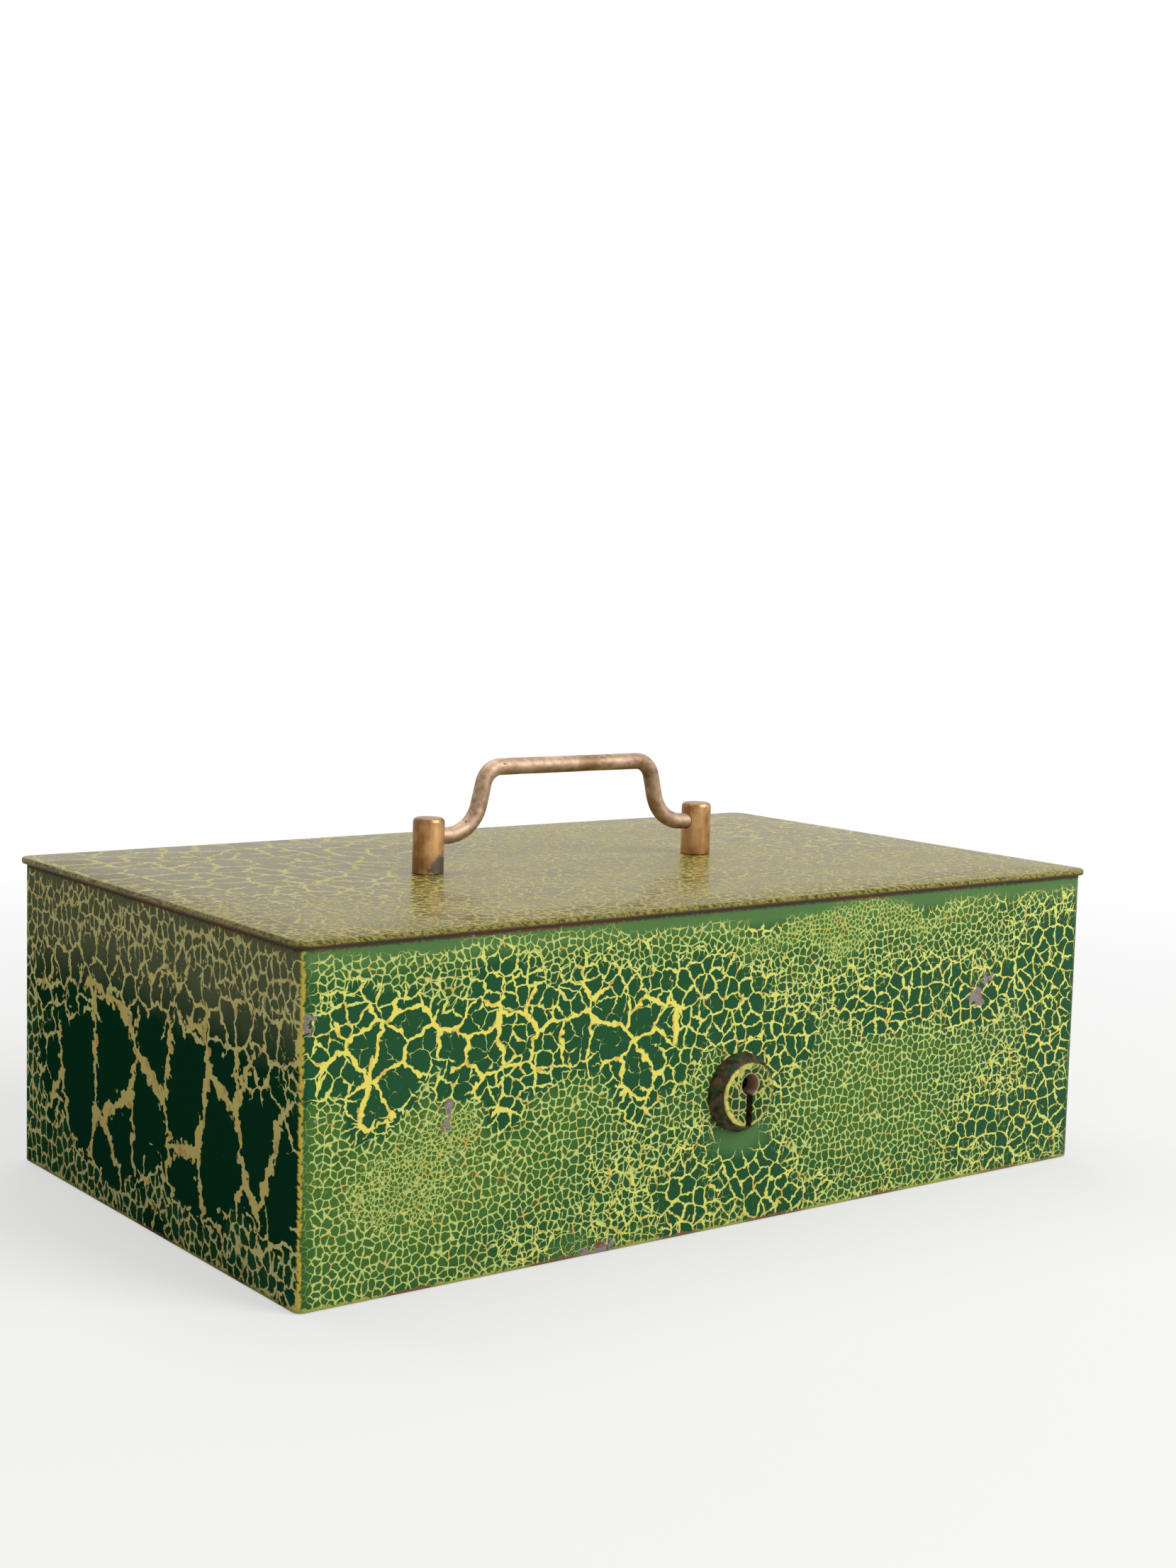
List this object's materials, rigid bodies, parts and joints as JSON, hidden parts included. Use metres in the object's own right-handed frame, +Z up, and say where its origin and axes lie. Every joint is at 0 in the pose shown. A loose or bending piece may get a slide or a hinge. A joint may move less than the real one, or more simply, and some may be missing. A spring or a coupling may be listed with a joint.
{
  "type": "steel strongbox",
  "caption": "Low rectangular steel strongbox with a flat hinged lid, a folding bail handle on two posts, and a lever lock behind a round keyhole collar.",
  "frame": {"origin": "middle of the four walls' outline on the flat underside that the box stands on", "axes": "+Z up through the lid; -Y out of the front with the keyhole; +X to the right of someone facing the front, along the hinge axis"},
  "size_m": [0.3032, 0.1915, 0.1342],
  "materials": {
    "crackle_paint": "dark green crackle coat over yellow, glossy, chipped",
    "collar_paint": "crackle coat worn to brown steel at the edges",
    "green_paint": "plain dark green enamel",
    "bare_steel": "dulled steel with light rust",
    "coppered_steel": "copper-bronzed steel, satin, worn grey at the foot",
    "bronzed_rod": "bronzed steel rod, mottled and worn",
    "lock_brass": "stamped brass, aged",
    "spring_steel": "blued spring strip"
  },
  "bodies": {
    "box": {"body_wrap": "crackle_paint", "base_plate": "green_paint", "lock_collar": "collar_paint", "lock_plate": "bare_steel", "lock_studs": "bare_steel", "lock_nuts": "bare_steel", "lock_case": "bare_steel", "case_screws": "bare_steel", "lever_pivot_post": "bare_steel", "bolt_guide_post": "bare_steel", "hinge_leaf_body_left": "green_paint", "hinge_leaf_body_right": "green_paint", "hinge_pin_left": "bare_steel", "hinge_pin_right": "bare_steel", "hinge_rivets": "green_paint"},
    "lid": {"lid_plate": "crackle_paint", "lid_strip_front": "green_paint", "lid_strip_back": "green_paint", "lid_strip_left": "green_paint", "lid_strip_right": "green_paint", "hinge_leaf_lid_left": "green_paint", "hinge_leaf_lid_right": "green_paint", "lid_keeper_left": "bare_steel", "lid_keeper_right": "bare_steel", "handle_post_left": "coppered_steel", "handle_post_right": "coppered_steel", "handle_washer_left": "bare_steel", "handle_washer_right": "bare_steel"},
    "bail": {"handle_bail": "bronzed_rod"},
    "bolt": {"bolt": "lock_brass", "bolt_stump": "bare_steel"},
    "lever_1": {"lever_1": "lock_brass", "lever_spring_1": "spring_steel"},
    "lever_2": {"lever_2": "lock_brass", "lever_spring_2": "spring_steel"},
    "lever_3": {"lever_3": "lock_brass", "lever_spring_3": "spring_steel"}
  },
  "joints": [
    {"name": "lid_hinge", "type": "hinge", "parent": "box", "child": "lid", "pos_m": [0, 0.0925, 0.0935], "axis": [-1, 0, 0], "range_deg": [0, 105]},
    {"name": "bail_pivot", "type": "hinge", "parent": "lid", "child": "bail", "pos_m": [0, 0, 0.1104], "axis": [-1, 0, 0], "range_deg": [-111, 111]},
    {"name": "bolt_slide", "type": "slide", "parent": "box", "child": "bolt", "axis": [1, 0, 0], "range_m": [0, 0.009]},
    {"name": "lever_1_pivot", "type": "hinge", "parent": "box", "child": "lever_1", "pos_m": [-0.028, -0.0851, 0.0592], "axis": [0, -1, 0], "range_deg": [0, 5.6], "deforming": ["lever_spring_1"]},
    {"name": "lever_2_pivot", "type": "hinge", "parent": "box", "child": "lever_2", "pos_m": [-0.028, -0.0836, 0.0592], "axis": [0, -1, 0], "range_deg": [0, 6.2], "deforming": ["lever_spring_2"]},
    {"name": "lever_3_pivot", "type": "hinge", "parent": "box", "child": "lever_3", "pos_m": [-0.028, -0.0821, 0.0592], "axis": [0, -1, 0], "range_deg": [0, 6.8], "deforming": ["lever_spring_3"]}
  ],
  "couplings": [
    {"joint": "lever_1_pivot", "follows": "bolt_slide", "rad_per_m": 10.859},
    {"joint": "lever_2_pivot", "follows": "bolt_slide", "rad_per_m": 12.023},
    {"joint": "lever_3_pivot", "follows": "bolt_slide", "rad_per_m": 13.186}
  ]
}
